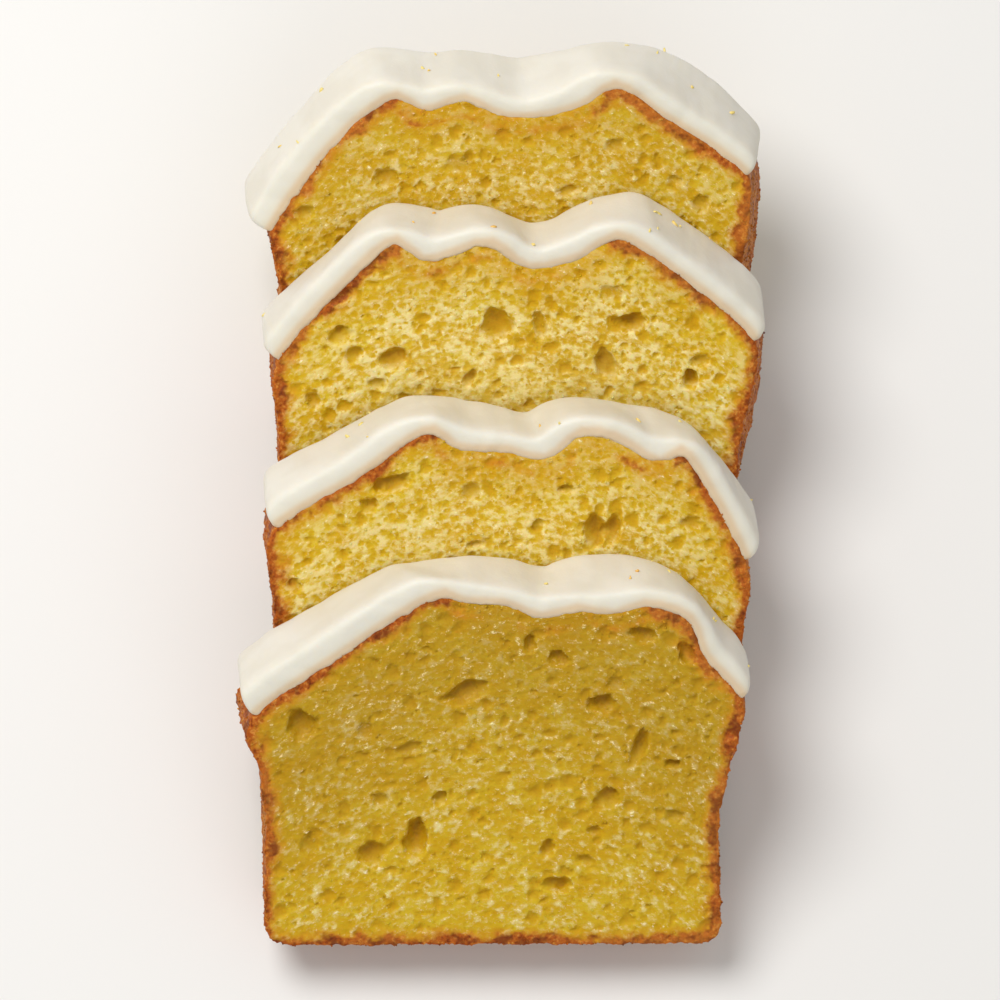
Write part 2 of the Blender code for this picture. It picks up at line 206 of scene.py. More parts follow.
def ease(tree, value, start, end):
    """0 before start and 1 after end, or the other way round if start is the larger, with a smooth change."""
    low, high, first, last = (start, end, 0.0, 1.0) if start < end else (end, start, 1.0, 0.0)
    limits = {"Value": value, "From Min": low, "From Max": high, "To Min": first, "To Max": last}
    return add(tree, "ShaderNodeMapRange", limits, interpolation_type="SMOOTHSTEP")


def layered(tree, colour, *layers):
    """A colour with others laid over it in turn, each a hex code or a socket.

    A layer says where it lies, from 0 to 1, how much of it shows there, and what its colour is.
    """
    under = linear(colour) if isinstance(colour, str) else colour
    for where, most, colour in layers:
        over = linear(colour) if isinstance(colour, str) else colour
        share = product(tree, where, most)
        under = add(tree, "ShaderNodeMix", {0: share, 6: under, 7: over}, out=2, data_type="RGBA")
    return under


def grain(tree, place, size, detail, roughness=0.5, out="Fac"):
    """Noise around 0.5 with lumps of about this size in mm, which detail and roughness break up finer."""
    inputs = {"Vector": place, "Scale": 1 / size, "Detail": detail, "Roughness": roughness}
    return add(tree, "ShaderNodeTexNoise", inputs, out=out)


def scatter_of(tree, place, size, detail, roughness=0.5):
    """Noise as a vector that points any way, around zero."""
    either_way = grain(tree, place, size, detail, roughness, out="Color")
    return add(tree, "ShaderNodeVectorMath", either_way, (0.5, 0.5, 0.5), operation="SUBTRACT")


def in_layers(tree, place):
    """The place, changed so that a pattern on it lies in flat lumps along the loaf's dome."""
    x, y, z = add(tree, "ShaderNodeSeparateXYZ", place, out=None)
    domed = weighted_sum(tree, z, (product(tree, x, x), LAYER_FALL))
    return add(tree, "ShaderNodeCombineXYZ", product(tree, x, LUMP_FLATNESS), y, domed)


def pores(tree, place, spacing, smallest, largest, warp):
    """How deep a place is in one of many round pores, and how far it is between them, both from 0 to 1.

    spacing is the mean distance between pores in mm, and smallest and largest are radii as shares of it.
    warp bends the pores out of round, in mm.
    """
    bend = scatter_of(tree, place, spacing * 0.6, 1.0)
    bend = add(tree, "ShaderNodeVectorMath", {0: bend, "Scale": warp * 2}, operation="SCALE")
    bent = add(tree, "ShaderNodeVectorMath", place, bend, operation="ADD")
    cells = add(tree, "ShaderNodeTexVoronoi", {"Vector": bent, "Scale": 1 / spacing}, out=None)
    # A cell's colour is random, so a part of it is a draw for the radius of its pore. The draw's square makes
    # small pores common and large ones rare.
    draw = add(tree, "ShaderNodeSeparateXYZ", cells["Color"])
    radius = weighted_sum(tree, smallest, (product(tree, draw, draw), largest - smallest))
    share = add(tree, "ShaderNodeMath", cells["Distance"], radius, operation="DIVIDE")
    left = add(tree, "ShaderNodeMath", 1.0, product(tree, share, share), operation="SUBTRACT")
    inside = add(tree, "ShaderNodeMath", left, 0.0, operation="MAXIMUM")
    # A power under 1 makes a pore's floor flatter and its wall steeper.
    return add(tree, "ShaderNodeMath", inside, 0.75, operation="POWER"), ease(tree, left, 0.0, -2.5)


def new_tree(name, inputs):
    """A Geometry Nodes tree with named inputs. Gives the tree, its input sockets and their identifiers."""
    tree = bpy.data.node_groups.new(name, "GeometryNodeTree")
    tree.interface.new_socket("Geometry", in_out="OUTPUT", socket_type="NodeSocketGeometry")
    tree.interface.new_socket("Geometry", in_out="INPUT", socket_type="NodeSocketGeometry")
    identifiers = {}
    for label, kind in inputs.items():
        socket = tree.interface.new_socket(label, in_out="INPUT", socket_type=kind)
        identifiers[label] = socket.identifier
    return tree, add(tree, "NodeGroupInput", out=None), identifiers


def end_tree(tree, geometry, surface):
    """Ends a tree in real meshes with their material."""
    real = add(tree, "GeometryNodeRealizeInstances", {"Geometry": geometry})
    done = add(tree, "GeometryNodeSetMaterial", {"Geometry": real, "Material": surface})
    add(tree, "NodeGroupOutput", done, out=None)


def store(tree, geometry, values):
    """Stores numbers and vectors on a geometry's points, by their names."""
    for name, value in values.items():
        kind = "FLOAT_VECTOR" if value.type == "VECTOR" else "FLOAT"
        inputs = {"Geometry": geometry, "Name": name, "Value": value}
        geometry = add(tree, "GeometryNodeStoreNamedAttribute", inputs, data_type=kind, domain="POINT")
    return geometry


def shape_of(tree, target):
    """The faces of an object, where its own frame has them."""
    return add(tree, "GeometryNodeObjectInfo", {"Object": target}, out="Geometry", transform_space="ORIGINAL")


def distance_to(tree, target):
    """The distance in mm from each point to an object."""
    faces = shape_of(tree, target)
    return add(tree, "GeometryNodeProximity", {0: faces}, out="Distance", target_element="FACES")


def crumb_tree():
    """Opens pores in the cut faces, roughens the crust, and stores what the material and the crumbs read."""
    tree, given, identifiers = new_tree("Sponge relief", {
        "Crust walls": "NodeSocketObject",
        "Icing": "NodeSocketObject",
        "Pore depth": "NodeSocketFloat",
        "Small pore depth": "NodeSocketFloat",
        "Lump height": "NodeSocketFloat",
        "Crust relief": "NodeSocketFloat",
        "Left ridge": "NodeSocketFloat",
        "Right ridge": "NodeSocketFloat",
        "Shade deepening": "NodeSocketFloat",
        "Place in the loaf": "NodeSocketVector",
        "Material": "NodeSocketMaterial",
    })
    here = add(tree, "GeometryNodeInputPosition")
    place = add(tree, "ShaderNodeVectorMath", here, given["Place in the loaf"], operation="ADD")
    across = add(tree, "ShaderNodeSeparateXYZ", here)
    past_left = add(tree, "ShaderNodeMath", across, given["Left ridge"], operation="SUBTRACT")
    short_of_right = add(tree, "ShaderNodeMath", given["Right ridge"], across, operation="SUBTRACT")
    from_side, from_icing = distance_to(tree, given["Crust walls"]), distance_to(tree, given["Icing"])
    normal = add(tree, "GeometryNodeInputNormal")
    into_slice = add(tree, "ShaderNodeSeparateXYZ", normal, out=1)
    facing = add(tree, "ShaderNodeMath", into_slice, operation="ABSOLUTE")
    browned = product(tree, ease(tree, from_side, 2.0, 0.6), ease(tree, from_icing, 0.6, 1.8))
    medium, _ = pores(tree, place, **MEDIUM_PORES)
    small, _ = pores(tree, place, **SMALL_PORES)
    geometry = store(tree, given["Geometry"], {
        "place": place,
        "from_side": from_side,
        "from_icing": from_icing,
        "in_cleft": product(tree, ease(tree, past_left, -2.5, 2.5), ease(tree, short_of_right, -2.5, 2.5)),
        "richness": given["Shade deepening"],
        "on_rim": product(tree, browned, ease(tree, facing, 0.4, 0.7)),
        "on_wall": product(tree, browned, ease(tree, facing, 0.7, 0.4)),
        "pore": medium,
    })

    medium = product(tree, medium, given["Pore depth"])
    small = product(tree, small, given["Small pore depth"])
    deepest = add(tree, "ShaderNodeMath", medium, small, operation="MAXIMUM")
    crumb = weighted_sum(tree, deepest, (grain(tree, place, 1.6, 3.0, 0.6), given["Lump height"]))
    crags = weighted_sum(tree, grain(tree, place, 1.3, 3.0, 0.7), (grain(tree, place, 4.0, 2.0), 1.0))
    crust = add(tree, "ShaderNodeMath", crags, 0.8, operation="SUBTRACT")
    crust = product(tree, crust, given["Crust relief"])
    depth = add(tree, "ShaderNodeMix", {0: ease(tree, from_side, 0.5, 2.0), 2: crust, 3: crumb})
    # Under the icing the relief is shallow and the cake's rim is evened out.
    bared = add(tree, "ShaderNodeMath", ease(tree, from_icing, 0.2, 2.0), 0.3, operation="MAXIMUM")
    inwards = product(tree, depth, bared, -1.0)
    offset = add(tree, "ShaderNodeVectorMath", {0: normal, "Scale": inwards}, operation="SCALE")
    evened = add(tree, "GeometryNodeBlurAttribute", {
        "Value": here, "Iterations": 5, "Weight": ease(tree, from_icing, 2.5, 1.0)}, data_type="FLOAT_VECTOR")
    geometry = add(tree, "GeometryNodeSetPosition", {
        "Geometry": geometry, "Position": evened, "Offset": offset})
    end_tree(tree, geometry, given["Material"])
    return tree, identifiers


def icing_tree():
    """Lets the icing settle into a soft even skin with a torn rim, and stores what its material reads."""
    tree, given, identifiers = new_tree("Poured icing", {
        "Cake": "NodeSocketObject",
        "Settling": "NodeSocketInt",
        "Unevenness": "NodeSocketFloat",
        "Raggedness": "NodeSocketFloat",
        "Place in the loaf": "NodeSocketVector",
        "Material": "NodeSocketMaterial",
    })
    here = add(tree, "GeometryNodeInputPosition")
    settled = add(tree, "GeometryNodeBlurAttribute", {"Value": here, "Iterations": given["Settling"]},
                  data_type="FLOAT_VECTOR")
    geometry = add(tree, "GeometryNodeSetPosition", {"Geometry": given["Geometry"], "Position": settled})

    # Waves that are longer along the loaf than across it.
    place = add(tree, "ShaderNodeVectorMath", here, given["Place in the loaf"], operation="ADD")
    along = add(tree, "ShaderNodeVectorMath", place, (1.0, 0.35, 1.0), operation="MULTIPLY")
    waves = add(tree, "ShaderNodeMath", grain(tree, along, 6.0, 1.0), 0.5, operation="SUBTRACT")
    normal = add(tree, "GeometryNodeInputNormal")
    out = product(tree, waves, given["Unevenness"])
    offset = add(tree, "ShaderNodeVectorMath", {0: normal, "Scale": out}, operation="SCALE")
    geometry = add(tree, "GeometryNodeSetPosition", {"Geometry": geometry, "Offset": offset})

    # A rim that is torn to and fro within the plane of the cut.
    from_cake = distance_to(tree, given["Cake"])
    strength = product(tree, ease(tree, from_cake, 1.4, 0.3), given["Raggedness"])
    torn = scatter_of(tree, place, 3.0, 3.0, 0.55)
    torn = add(tree, "ShaderNodeVectorMath", torn, (1.0, 0.1, 1.0), operation="MULTIPLY")
    offset = add(tree, "ShaderNodeVectorMath", {0: torn, "Scale": strength}, operation="SCALE")
    geometry = add(tree, "GeometryNodeSetPosition", {"Geometry": geometry, "Offset": offset})

    into_slice = add(tree, "ShaderNodeSeparateXYZ", normal, out=1)
    facing = add(tree, "ShaderNodeMath", into_slice, operation="ABSOLUTE")
    geometry = store(tree, geometry, {
        "place": place,
        "on_cut": ease(tree, facing, 0.35, 0.85),
        "from_cake": from_cake,
    })
    end_tree(tree, geometry, given["Material"])
    return tree, identifiers


def strewing_tree():
    """Strews small pieces over a surface.

    Band names an attribute of the surface. As that goes from where the band starts to where it ends, the
    number of pieces to a square metre goes from the one in the band to the one outside it.
    """
    tree, given, identifiers = new_tree("Strewn pieces", {
        "Surface": "NodeSocketObject",
        "Piece": "NodeSocketObject",
        "Band": "NodeSocketString",
        "Band starts": "NodeSocketFloat",
        "Band ends": "NodeSocketFloat",
        "In the band": "NodeSocketFloat",
        "Outside it": "NodeSocketFloat",
        "Smallest": "NodeSocketFloat",
        "Largest": "NodeSocketFloat",
        "Seed": "NodeSocketInt",
        "Material": "NodeSocketMaterial",
    })
    measure = add(tree, "GeometryNodeInputNamedAttribute", {"Name": given["Band"]}, data_type="FLOAT")
    density = add(tree, "ShaderNodeMapRange", {
        "Value": measure, "From Min": given["Band starts"], "From Max": given["Band ends"],
        "To Min": given["In the band"], "To Max": given["Outside it"]})
    points = add(tree, "GeometryNodeDistributePointsOnFaces", {
        "Mesh": shape_of(tree, given["Surface"]), "Density": density, "Seed": given["Seed"]}, out="Points")
    any_turn = {0: (0.0, 0.0, 0.0), 1: (math.tau, math.tau, math.tau), "Seed": given["Seed"]}
    any_size = {2: given["Smallest"], 3: given["Largest"], "Seed": given["Seed"]}
    turn = add(tree, "FunctionNodeRandomValue", any_turn, data_type="FLOAT_VECTOR")
    size = add(tree, "FunctionNodeRandomValue", any_size, out=1, data_type="FLOAT")
    strewn = add(tree, "GeometryNodeInstanceOnPoints", {
        "Points": points, "Instance": shape_of(tree, given["Piece"]), "Rotation": turn, "Scale": size})
    end_tree(tree, strewn, given["Material"])
    return tree, identifiers


def new_object(name, mesh):
    """A new object with a mesh, in the scene."""
    made = bpy.data.objects.new(name, mesh)
    bpy.context.scene.collection.objects.link(made)
    return made


def object_of(name, mesh):
    """A new object with the faces of a bmesh."""
    data = bpy.data.meshes.new(name)
    mesh.to_mesh(data)
    return new_object(name, data)


def small_piece(name, stretch, roughness):
    """An uneven grain of 20 triangles and about unit length."""
    mesh = bmesh.new()
    bmesh.ops.create_icosphere(mesh, subdivisions=1, radius=0.5)
    for vertex in mesh.verts:
        vertex.co *= 1 + roughness * noise.noise(vertex.co * 3.1)
        vertex.co = Vector(a * b for a, b in zip(vertex.co, stretch))
    return object_of(name, mesh)


def made_plain(obj):
    """Turns what an object's modifiers make into its mesh, and takes the modifiers off."""
    graph = bpy.context.evaluated_depsgraph_get()
    mesh = bpy.data.meshes.new_from_object(obj.evaluated_get(graph))
    obj.modifiers.clear()
    obj.data = mesh


def with_nodes(obj, tree, identifiers, values):
    """Shapes an object by a Geometry Nodes tree with these values for its inputs, and makes it plain."""
    modifier = obj.modifiers.new("shape", "NODES")
    modifier.node_group = tree
    for label, value in values.items():
        modifier[identifiers[label]] = value
    made_plain(obj)


def own_frame(number):
    """Stands a slice upright with the origin at its front cut's foot, and turns metres into mm."""
    upright = Matrix.Scale(1 / MM, 4) @ Matrix.Rotation(math.radians(LEANS[number]), 4, "X")
    points = [upright @ v.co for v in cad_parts[f"slice_{number}_cake"].data.vertices]
    return Matrix.Translation((0, -min(p.y for p in points), -min(p.z for p in points))) @ upright


def own_copy(node, to_own):
    """A closed copy of a node's mesh in its slice's own frame."""
    mesh = bmesh.new()
    mesh.from_mesh(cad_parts[node].data)
    bmesh.ops.remove_doubles(mesh, verts=mesh.verts, dist=CLOSE)
    mesh.transform(to_own)
    mesh.normal_update()
    return mesh


def connected_islands(mesh):
    """A mesh's faces, in lists of faces that hang together."""
    unseen = set(mesh.faces)
    islands = []
    while unseen:
        island = [unseen.pop()]
        for face in island:
            for beside in [f for edge in face.edges for f in edge.link_faces if f in unseen]:
                unseen.discard(beside)
                island.append(beside)
        islands.append(island)
    return islands


def split_walls(cake, to_own):
    """The browned faces of a cake: its sides and the flat spot it stands on, without the walls of pores."""
    down = (to_own.to_3x3() @ Vector((0, 0, -1))).normalized()
    walls = cake.copy()
    # The cuts face along y. So does the flat spot in part, but it faces straight down in the row.
    cuts = [f for f in walls.faces if abs(f.normal.y) > 0.5 and f.normal.dot(down) < 0.99]
    bmesh.ops.delete(walls, geom=cuts, context="FACES")
    # What is left of the pores hangs together with nothing else, and the crust is the largest part.
    islands = sorted(connected_islands(walls), key=len)
    bmesh.ops.delete(walls, geom=[f for island in islands[:-1] for f in island], context="FACES")
    return walls


def flatten_cuts(cake, walls):
    """Takes the coarse relief out of the two cut faces, for the fine one that follows."""
    tree = BVHTree.FromBMesh(walls)
    for vertex in cake.verts:
        _, _, _, from_side = tree.find_nearest(vertex.co)
        if from_side > RIM_WIDTH:
            vertex.co.y = 0.0 if vertex.co.y < THICKNESS / 2 else THICKNESS


def bed_icing(icing, cake):
    """Sinks the underside of the icing into the cake that it was poured on."""
    tree = BVHTree.FromBMesh(cake)
    for vertex in icing.verts:
        place, _, _, distance = tree.find_nearest(vertex.co)
        if distance < ICING_TOUCHES:
            vertex.co += (place - vertex.co).normalized() * ICING_BEDDING


def fine(coarse, name, facet, squeeze=1.0, crease_above=math.pi):
    """The same shape, smoothly curved but at its creases, with even small facets."""
    creases = coarse.edges.layers.float.new("crease_edge")
    for edge in coarse.edges:
        edge[creases] = float(edge.calc_face_angle(0.0) > crease_above)
    coarse.transform(Matrix.Diagonal((1, squeeze, 1, 1)))
    made = object_of(name, coarse)
    curved = made.modifiers.new("curved", "SUBSURF")
    curved.levels = curved.render_levels = 2
    remesh = made.modifiers.new("even", "REMESH")
    remesh.mode = "VOXEL"
    remesh.voxel_size = facet
    made_plain(made)
    made.data.transform(Matrix.Diagonal((1, 1 / squeeze, 1, 1)))
    return made


def open_large_pores(obj, rows):
    """Hollows out the pores that can be told apart, and stores how far down in one a point is.

    The back cut gets the same pores, the other way round. A pore is deepest, with the steepest wall, at its
    upper end.
    """
    count = len(obj.data.vertices)
    places = np.empty(count * 3)
    obj.data.vertices.foreach_get("co", places)
    places = places.reshape(-1, 3)
    random = np.random.default_rng(SEED)
    cuts = ((1, places[:, 1] < CUT_SLACK), (-1, places[:, 1] > THICKNESS - CUT_SLACK))
    places[:, [0, 2]] += random.uniform(-FACET_JITTER, FACET_JITTER, (count, 2))
    hollow = np.zeros(count)
    for (x, height, half_width, half_height, tilt, depth), (side, on_cut) in itertools.product(rows, cuts):
        turn = math.radians(tilt * side)
        across, up = places[:, 0] - x * side, places[:, 2] - height
        along = (across * math.cos(turn) + up * math.sin(turn)) / half_width
        over = (up * math.cos(turn) - across * math.sin(turn)) / half_height
        # Waves around the pore, from three to eight, make its rim ragged.
        angle = np.arctan2(over, along)
        phases = random.uniform(0, math.tau, 6)
        ragged = sum(0.2 / k * np.sin(k * angle + phase) for k, phase in enumerate(phases, 3))
        share = np.clip(np.hypot(along, over) * (1 + ragged), 0, 1)
        over = np.clip(over, -1, 1)
        fall = np.where(on_cut, 1 - share ** (2.9 + 1.3 * over), 0.0)
        places[:, 1] += fall * (0.75 + 0.25 * over) * depth * side
        # How far down a point is, weighted towards the upper end, where the materials paint shade under the
        # rim.
        hollow = np.maximum(hollow, fall * (0.65 + 0.35 * over) * min(1.0, depth / 2))
    obj.data.vertices.foreach_set("co", places.ravel())
    obj.data.attributes.new("hollow", "FLOAT", "POINT").data.foreach_set("value", hollow)


def new_material(name, constants):
    """A material with these constants on its shader's own sockets. Gives it, its tree and its shader."""
    made = bpy.data.materials.new(name)
    made.use_nodes = True
    shader = made.node_tree.nodes["Principled BSDF"]
    for socket, value in constants.items():
        shader.inputs[socket].default_value = value
    return made, made.node_tree, shader


def stored_on(tree, *names):
    """The numbers stored on the mesh under these names."""
    return [add(tree, "ShaderNodeAttribute", out="Fac", attribute_name=name) for name in names]


def sponge_patterns(tree):
    """What the sponge's colours read: where a point is, and noise from fine grain to broad drifts, in mm."""
    place = add(tree, "ShaderNodeAttribute", out="Vector", attribute_name="place")
    from_side, from_icing, in_cleft = stored_on(tree, "from_side", "from_icing", "in_cleft")
    richness, hollow, medium = stored_on(tree, "richness", "hollow", "pore")
    small, between = pores(tree, place, **SMALL_PORES)
    layers = in_layers(tree, place)
    return SimpleNamespace(
        place=place, from_side=from_side, from_icing=from_icing, in_cleft=in_cleft, richness=richness,
        hollow=hollow, medium=medium, small=small, between=between,
        granules=grain(tree, layers, 1.3, 3.0, 0.6),
        # Real crumb's grain is finer, too fine to show in the render, so it is drawn as coarse as this.
        fine_grain=grain(tree, layers, 0.62, 3.0, 0.65),
        patches=grain(tree, layers, 5.0, 2.0, 0.6),
        drift=grain(tree, place, 25.0, 1.0),
        crust_grain=grain(tree, place, 0.9, 3.0, 0.6),
        scorched=grain(tree, place, 3.0, 2.0, 0.6),
    )


def crumb_colour(tree, at):
    """Gold crumb with pale flakes and painted highlights, amber in its pores with painted shade deep in the
    large ones, and painted shade that deepens the gold towards a shaded slice's crown.
    """
    in_pore = product(tree, at.small, 0.6)
    for depth in (at.medium, at.hollow):
        in_pore = add(tree, "ShaderNodeMath", in_pore, depth, operation="MAXIMUM")
    clear_of_pores = ease(tree, in_pore, 0.5, 0.0)
    crumbly = weighted_sum(tree, 0.5, (ease(tree, at.from_icing, 3.0, 16.0), 0.5))
    paler = weighted_sum(tree, at.granules, (at.between, 0.08), (at.patches, 0.25), (at.richness, -0.12))
    flakes = add(tree, "ShaderNodeMath", ease(tree, paler, 0.48, 0.82), 1.4, operation="POWER")
    unshaded_share = add(tree, "ShaderNodeMath", 1.0, at.richness, operation="SUBTRACT")
    # Painted shade: a darker gold on the shaded slices, strongest towards the crown, where less light falls.
    towards_crown = weighted_sum(tree, 0.12, (ease(tree, at.from_icing, 45.0, 10.0), 0.44))
    deepest_shading = product(tree, at.richness, towards_crown)
    # Painted highlights: sparse bright specks on the raised grain, like glints of light on moist crumb. They
    # are kept out of the pores and are more golden on the shaded slices' crowns.
    bunched = weighted_sum(tree, 0.25, (ease(tree, at.granules, 0.46, 0.64), 0.75))
    painted_sparkle = ease(tree, weighted_sum(tree, at.fine_grain, (deepest_shading, 0.05)), 0.58, 0.73)
    painted_glints = product(tree, painted_sparkle, bunched, weighted_sum(tree, 0.95, (deepest_shading, 0.5)), clear_of_pores)
    return layered(
        tree, "#D4AA12",
        (ease(tree, at.patches, 0.34, 0.66), 1.0, "#DABA26"),
        (ease(tree, at.drift, 0.4, 0.65), 0.25, "#C49608"),
        (product(tree, flakes, crumbly, clear_of_pores), 1.0, "#EEDC98"),
        (product(tree, ease(tree, at.from_icing, 12.0, 30.0), unshaded_share), 0.2, "#ECDC80"),
        (at.small, 0.5, "#CE9E06"),
        (at.medium, 0.7, "#C69208"),
        # In the large pores the amber is partly the crumb's own colour. Their darker upper end and the dark
        # brown deep inside are painted shade.
        (at.hollow, 0.9, "#A87006"),
        (ease(tree, at.hollow, 0.6, 1.0), 0.7, "#74460A"),
        (product(tree, ease(tree, at.from_icing, 10.0, 0.5), at.in_cleft), 0.4, "#D29408"),
        (deepest_shading, 1.0, "#A67C12"),
        (painted_glints, 1.0, layered(tree, "#FFF3CE", (deepest_shading, 1.5, "#F4DC94"))),
    )


def crust_colour(tree, at):
    """Baked crust, from dark brown in its dips to tan on its grains, scorched in places, with painted shade
    in large pores.
    """
    return layered(
        tree, "#863A0A",
        (ease(tree, at.crust_grain, 0.3, 0.5), 1.0, "#B25C16"),
        (ease(tree, at.crust_grain, 0.5, 0.72), 1.0, "#D48E3A"),
        (ease(tree, at.drift, 0.45, 0.6), 0.35, "#CC8630"),
        # Painted shade: the crust is dark in the hollows of large pores.
        (at.hollow, 0.8, "#5A2808"),
        (ease(tree, at.scorched, 0.5, 0.64), 0.65, "#6A2A08"),
    )


def crust_edge(tree, at):
    """How far inside the crust's ragged edge a point of a cut lies, in mm, and negative in the crust.

    Under the icing the crust is thickest at the two ridges, and hardly any lies between them, where the loaf
    split.
    """
    under_icing = ease(tree, at.from_icing, 4.0, 1.5)
    out_of_cleft = add(tree, "ShaderNodeMath", 1.0, at.in_cleft, operation="SUBTRACT")
    at_ridge = product(tree, 4.0, at.in_cleft, out_of_cleft, under_icing)
    split = product(tree, under_icing, at.in_cleft)
    reach = weighted_sum(tree, add(tree, "ShaderNodeMix", {0: split, 2: 2.1, 3: -1.0}), (at_ridge, 2.2))
    ragged = (
        (grain(tree, at.place, 7.0, 1.0), 5.0),
        (grain(tree, at.place, 2.6, 2.0, 0.6), 3.6),
        (at.granules, 1.6),
    )
    edge = weighted_sum(tree, at.from_side, *ragged, (reach, -1.0))
    # Noise lies around 0.5, so half of its weights comes off again.
    return add(tree, "ShaderNodeMath", edge, sum(weight for _, weight in ragged) / 2, operation="SUBTRACT")


def sponge_material():
    """Lemon sponge, baked in a tin and sliced: matt golden crumb with amber pores, granular brown crust,
    painted shade and glints.
    """
    made, tree, shader = new_material("Lemon sponge, baked and cut", {
        "Roughness": 0.5,
        "IOR": 1.42,
        "Specular IOR Level": 0.2,
        "Subsurface Weight": 0.5,
        "Subsurface Radius": (1.0, 0.6, 0.2),
        "Subsurface Scale": 1.2 * MM,
    })
    at = sponge_patterns(tree)
    edge = crust_edge(tree, at)
    colour = layered(
        tree, crumb_colour(tree, at),
        (ease(tree, edge, 2.2, 0.0), 0.7, "#CE8A1C"),
        (ease(tree, edge, 0.8, -0.6), 1.0, crust_colour(tree, at)),
    )
    tree.links.new(colour, shader.inputs["Base Color"])
    height = weighted_sum(tree, 0.0, (at.granules, 0.5), (at.fine_grain, 0.18), (at.crust_grain, 0.25))
    bump = add(tree, "ShaderNodeBump", {"Height": height, "Strength": 0.5, "Distance": MM})
    tree.links.new(bump, shader.inputs["Normal"])
    return made


def icing_material():
    """Set sugar icing, poured and left to skin over: creamy white and satin, letting a little light through.

    It is warmer where it thins over the crust, and painted shade darkens it towards the cake, as if its edge
    curved away from the light.
    """
    made, tree, shader = new_material("Sugar icing, poured and set", {
        "Roughness": 0.48,
        "IOR": 1.48,
        "Specular IOR Level": 0.3,
        "Subsurface Weight": 0.35,
        "Subsurface Radius": (1.0, 0.85, 0.6),
        "Subsurface Scale": 2.0 * MM,
    })
    place = add(tree, "ShaderNodeAttribute", out="Vector", attribute_name="place")
    from_cake, on_cut = stored_on(tree, "from_cake", "on_cut")
    colour = layered(
        tree, "#E1DACA",
        (ease(tree, grain(tree, place, 9.0, 2.0), 0.35, 0.65), 1.0, "#E6E0D2"),
        (on_cut, 1.0, "#E1DDCF"),
        # Painted shade: the icing darkens towards the cake, as if its edge curved away from the light.
        (ease(tree, from_cake, 2.6, 0.4), 0.5, "#DCD0B6"),
        (ease(tree, from_cake, 1.4, 0.0), 0.5, "#D6AC74"),
    )
    tree.links.new(colour, shader.inputs["Base Color"])
    skin = product(tree, grain(tree, place, 0.9, 2.0), 0.05)
    bump = add(tree, "ShaderNodeBump", {"Height": skin, "Strength": 1.0, "Distance": MM})
    tree.links.new(bump, shader.inputs["Normal"])
    return made


def zest_material():
    """Lemon zest, grated: waxy yellow shreds, some more orange, that catch the light."""
    made, tree, shader = new_material("Lemon zest, grated", {"Roughness": 0.4})
    place = add(tree, "ShaderNodeAttribute", out="Vector", attribute_name="place")
    riper = ease(tree, grain(tree, place, 3.0, 1.0), 0.5, 0.7)
    tree.links.new(layered(tree, "#F0DA80", (riper, 1.0, "#E8B050")), shader.inputs["Base Color"])
    return made


def floor_material():
    """Pale matt board, sprayed: no pattern, so that only the cake draws the eye."""
    made, _, _ = new_material("Pale board, sprayed matt", {"Base Color": linear("#E9E7E3"), "Roughness": 0.7})
    return made


def keep_in_box(mesh):
    """Moves points that the relief pushed out of the frame's box back into it."""
    places = np.empty(len(mesh.vertices) * 3)
    mesh.vertices.foreach_get("co", places)
    low, high = (np.array(corner) for corner in cad_box)
    kept = np.clip(places.reshape(-1, 3), low + BOX_MARGIN, high - BOX_MARGIN)
    mesh.vertices.foreach_set("co", kept.ravel())


def finish_piece(obj, from_own, node):
    """Puts a piece back into the row, shades it smooth and hands it to the frame."""
    obj.data.transform(from_own)
    keep_in_box(obj.data)
    obj.data.shade_smooth()
    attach(obj, "root")
    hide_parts(node)


def make_slice(number, relief, pouring, sponge, icing):
    """The cake and the icing of one slice, made from the frame's meshes and put back into the row.

    relief and pouring are the trees that shape them, each with its inputs' identifiers.
    """
    to_own = own_frame(number)
    cake_node, icing_node = f"slice_{number}_cake", f"slice_{number}_icing"
    cake_mesh, icing_mesh = own_copy(cake_node, to_own), own_copy(icing_node, to_own)
    walls_mesh = split_walls(cake_mesh, to_own)
    flatten_cuts(cake_mesh, walls_mesh)

    # Coarse shapes to measure distances from.
    walls = object_of("walls", walls_mesh)
    icing_guide = object_of("icing", icing_mesh)
    cake_guide = object_of("cake", cake_mesh)

    bed_icing(icing_mesh, cake_mesh)
    # Subdivision curves quads more evenly than triangles.
    bmesh.ops.join_triangles(icing_mesh, faces=icing_mesh.faces, angle_face_threshold=math.radians(60),
                             angle_shape_threshold=math.radians(80))
    left_ridge, right_ridge = CLEFTS[number]
    place = (0.0, number * PATTERN_STEP, 0.0)
    cake = fine(cake_mesh, f"crumb_and_crust_{number}", CRUMB_FACET, DEPTH_SQUEEZE, CREASE_ABOVE)
    open_large_pores(cake, LARGE_PORES[number])
    with_nodes(cake, *relief, {
        **SPONGE_RELIEF,
        "Crust walls": walls,
        "Icing": icing_guide,
        "Left ridge": left_ridge,
        "Right ridge": right_ridge,
        "Shade deepening": SHADE_DEEPENING[number],
        "Place in the loaf": place,
        "Material": sponge,
    })
    skin = fine(icing_mesh, f"icing_{number}_skin", ICING_FACET)
    with_nodes(skin, *pouring, {
        **ICING_RELIEF,
        "Cake": cake_guide,
        "Settling": ICING_SETTLING,
        "Place in the loaf": place,
        "Material": icing,
    })
    for helper in (walls, icing_guide, cake_guide):
        bpy.data.objects.remove(helper)
    from_own = to_own.inverted()
    finish_piece(cake, from_own, cake_node)
    finish_piece(skin, from_own, icing_node)
    return cake, skin


def join(name, parts):
    """One object of several objects' meshes, which are used up."""
    mesh = bmesh.new()
    for part in parts:
        mesh.from_mesh(part.data)
    whole = object_of(name, mesh)
    for material in parts[0].data.materials:
        whole.data.materials.append(material)
    for part in parts:
        bpy.data.objects.remove(part)
    return whole


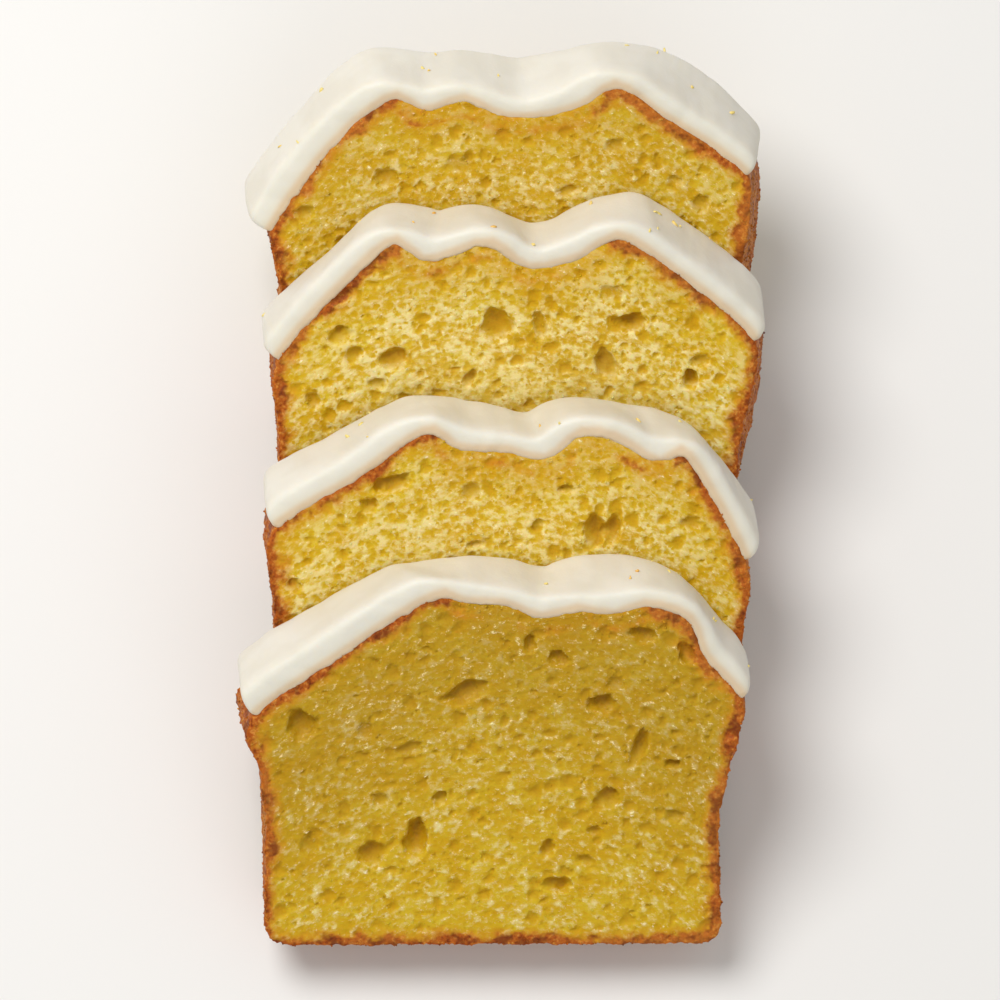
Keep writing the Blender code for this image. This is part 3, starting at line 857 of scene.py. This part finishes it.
def make_strewn(cakes, icings, sponge, zest):
    """Crumbs on the rims and cuts, loose grains of crust, and zest on the icing, over the finished slices."""
    tree, identifiers = strewing_tree()
    crumb = small_piece("crumb", (1.0, 0.8, 0.7), 0.5)
    shred = small_piece("shred", (1.0, 0.45, 0.3), 0.3)
    # Name, surfaces, piece, sizes, material and slot, then the attribute that they follow, where its band
    # starts and ends, and how many there are in it and outside it.
    kinds = (
        ("clinging_crumbs", cakes, crumb, CRUMB_SIZES, sponge, "cake",
         "on_rim", (1.0, 0.0), (RIM_CRUMBS, FACE_CRUMBS)),
        ("crust_grains", cakes, crumb, CRUMB_SIZES, sponge, "cake",
         "on_wall", (1.0, 0.0), (CRUST_GRAINS, 0.0)),
        ("zest_shreds", icings, shred, ZEST_SIZES, zest, "icing",
         "on_cut", (0.2, 0.4), (ZEST_SHREDS, 0.0)),
    )
    for name, surfaces, piece, sizes, material, slot, band, (starts, ends), (in_band, outside) in kinds:
        parts = []
        for number, surface in enumerate(surfaces, 1):
            part = new_object(f"{name}_{number}", bpy.data.meshes.new(name))
            with_nodes(part, tree, identifiers, {
                "Surface": surface,
                "Piece": piece,
                "Band": band,
                "Band starts": starts,
                "Band ends": ends,
                "In the band": in_band * TO_A_SQUARE_METRE,
                "Outside it": outside * TO_A_SQUARE_METRE,
                "Smallest": sizes[0] * MM,
                "Largest": sizes[1] * MM,
                "Seed": SEED + number,
                "Material": material,
            })
            parts.append(part)
        whole = join(name, parts)
        keep_in_box(whole.data)
        whole.data.shade_smooth()
        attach(whole, "root")
    bpy.data.objects.remove(crumb)
    bpy.data.objects.remove(shred)


def make_floor():
    """The board that the slices stand on."""
    bpy.ops.mesh.primitive_plane_add(size=FLOOR_SIZE, location=(0, 0, -FLOOR_DROP))
    floor = bpy.context.object
    floor.name = "floor"
    floor.data.materials.append(floor_material())


def area_light(name, place, size, power):
    """A round light that shines on the row, with its place and size in metres and its power in watts."""
    data = bpy.data.lights.new(name, "AREA")
    data.shape = "DISK"
    data.size = size
    data.energy = power
    light = bpy.data.objects.new(name, data)
    light.location = place
    light.rotation_euler = (LOOKS_AT - Vector(place)).to_track_quat("-Z", "Y").to_euler()
    bpy.context.scene.collection.objects.link(light)


def make_lights():
    """A soft light from behind on the left, a weak broad one from the front, and even white all around."""
    area_light("key", place=(-0.32, 0.25, 0.85), size=0.5, power=6.3)
    area_light("fill", place=(0.15, -0.65, 0.7), size=0.8, power=1.5)
    world = bpy.data.worlds.new("studio")
    bpy.context.scene.world = world
    world.use_nodes = True
    background = world.node_tree.nodes["Background"]
    background.inputs["Color"].default_value = linear("#FFFFFF")
    background.inputs["Strength"].default_value = 0.42
    bpy.context.scene.view_settings.view_transform = "Standard"


def make_camera():
    """Looks steeply down on the row from the front, a little from its left."""
    data = bpy.data.cameras.new("camera")
    camera = bpy.data.objects.new("camera", data)
    bpy.context.scene.collection.objects.link(camera)
    away = Vector((SIDE_STEP, -math.cos(ELEVATION) * DISTANCE, math.sin(ELEVATION) * DISTANCE))
    back = away.normalized()
    right = Vector((0, math.sin(ELEVATION), math.cos(ELEVATION))).cross(back).normalized()
    camera.location = LOOKS_AT + away
    camera.rotation_euler = Matrix((right, back.cross(right), back)).transposed().to_euler()
    data.lens = data.sensor_width * away.length / PICTURE_WIDTH
    data.clip_start = 0.01
    bpy.context.scene.camera = camera


def main():
    """Builds the slices, then what is strewn over them, then what they are seen with."""
    sponge, icing = sponge_material(), icing_material()
    relief, pouring = crumb_tree(), icing_tree()
    slices = [make_slice(number, relief, pouring, sponge, icing) for number in LEANS]
    cakes, icings = zip(*slices)
    make_strewn(cakes, icings, sponge, zest_material())
    make_floor()
    make_lights()
    make_camera()


main()
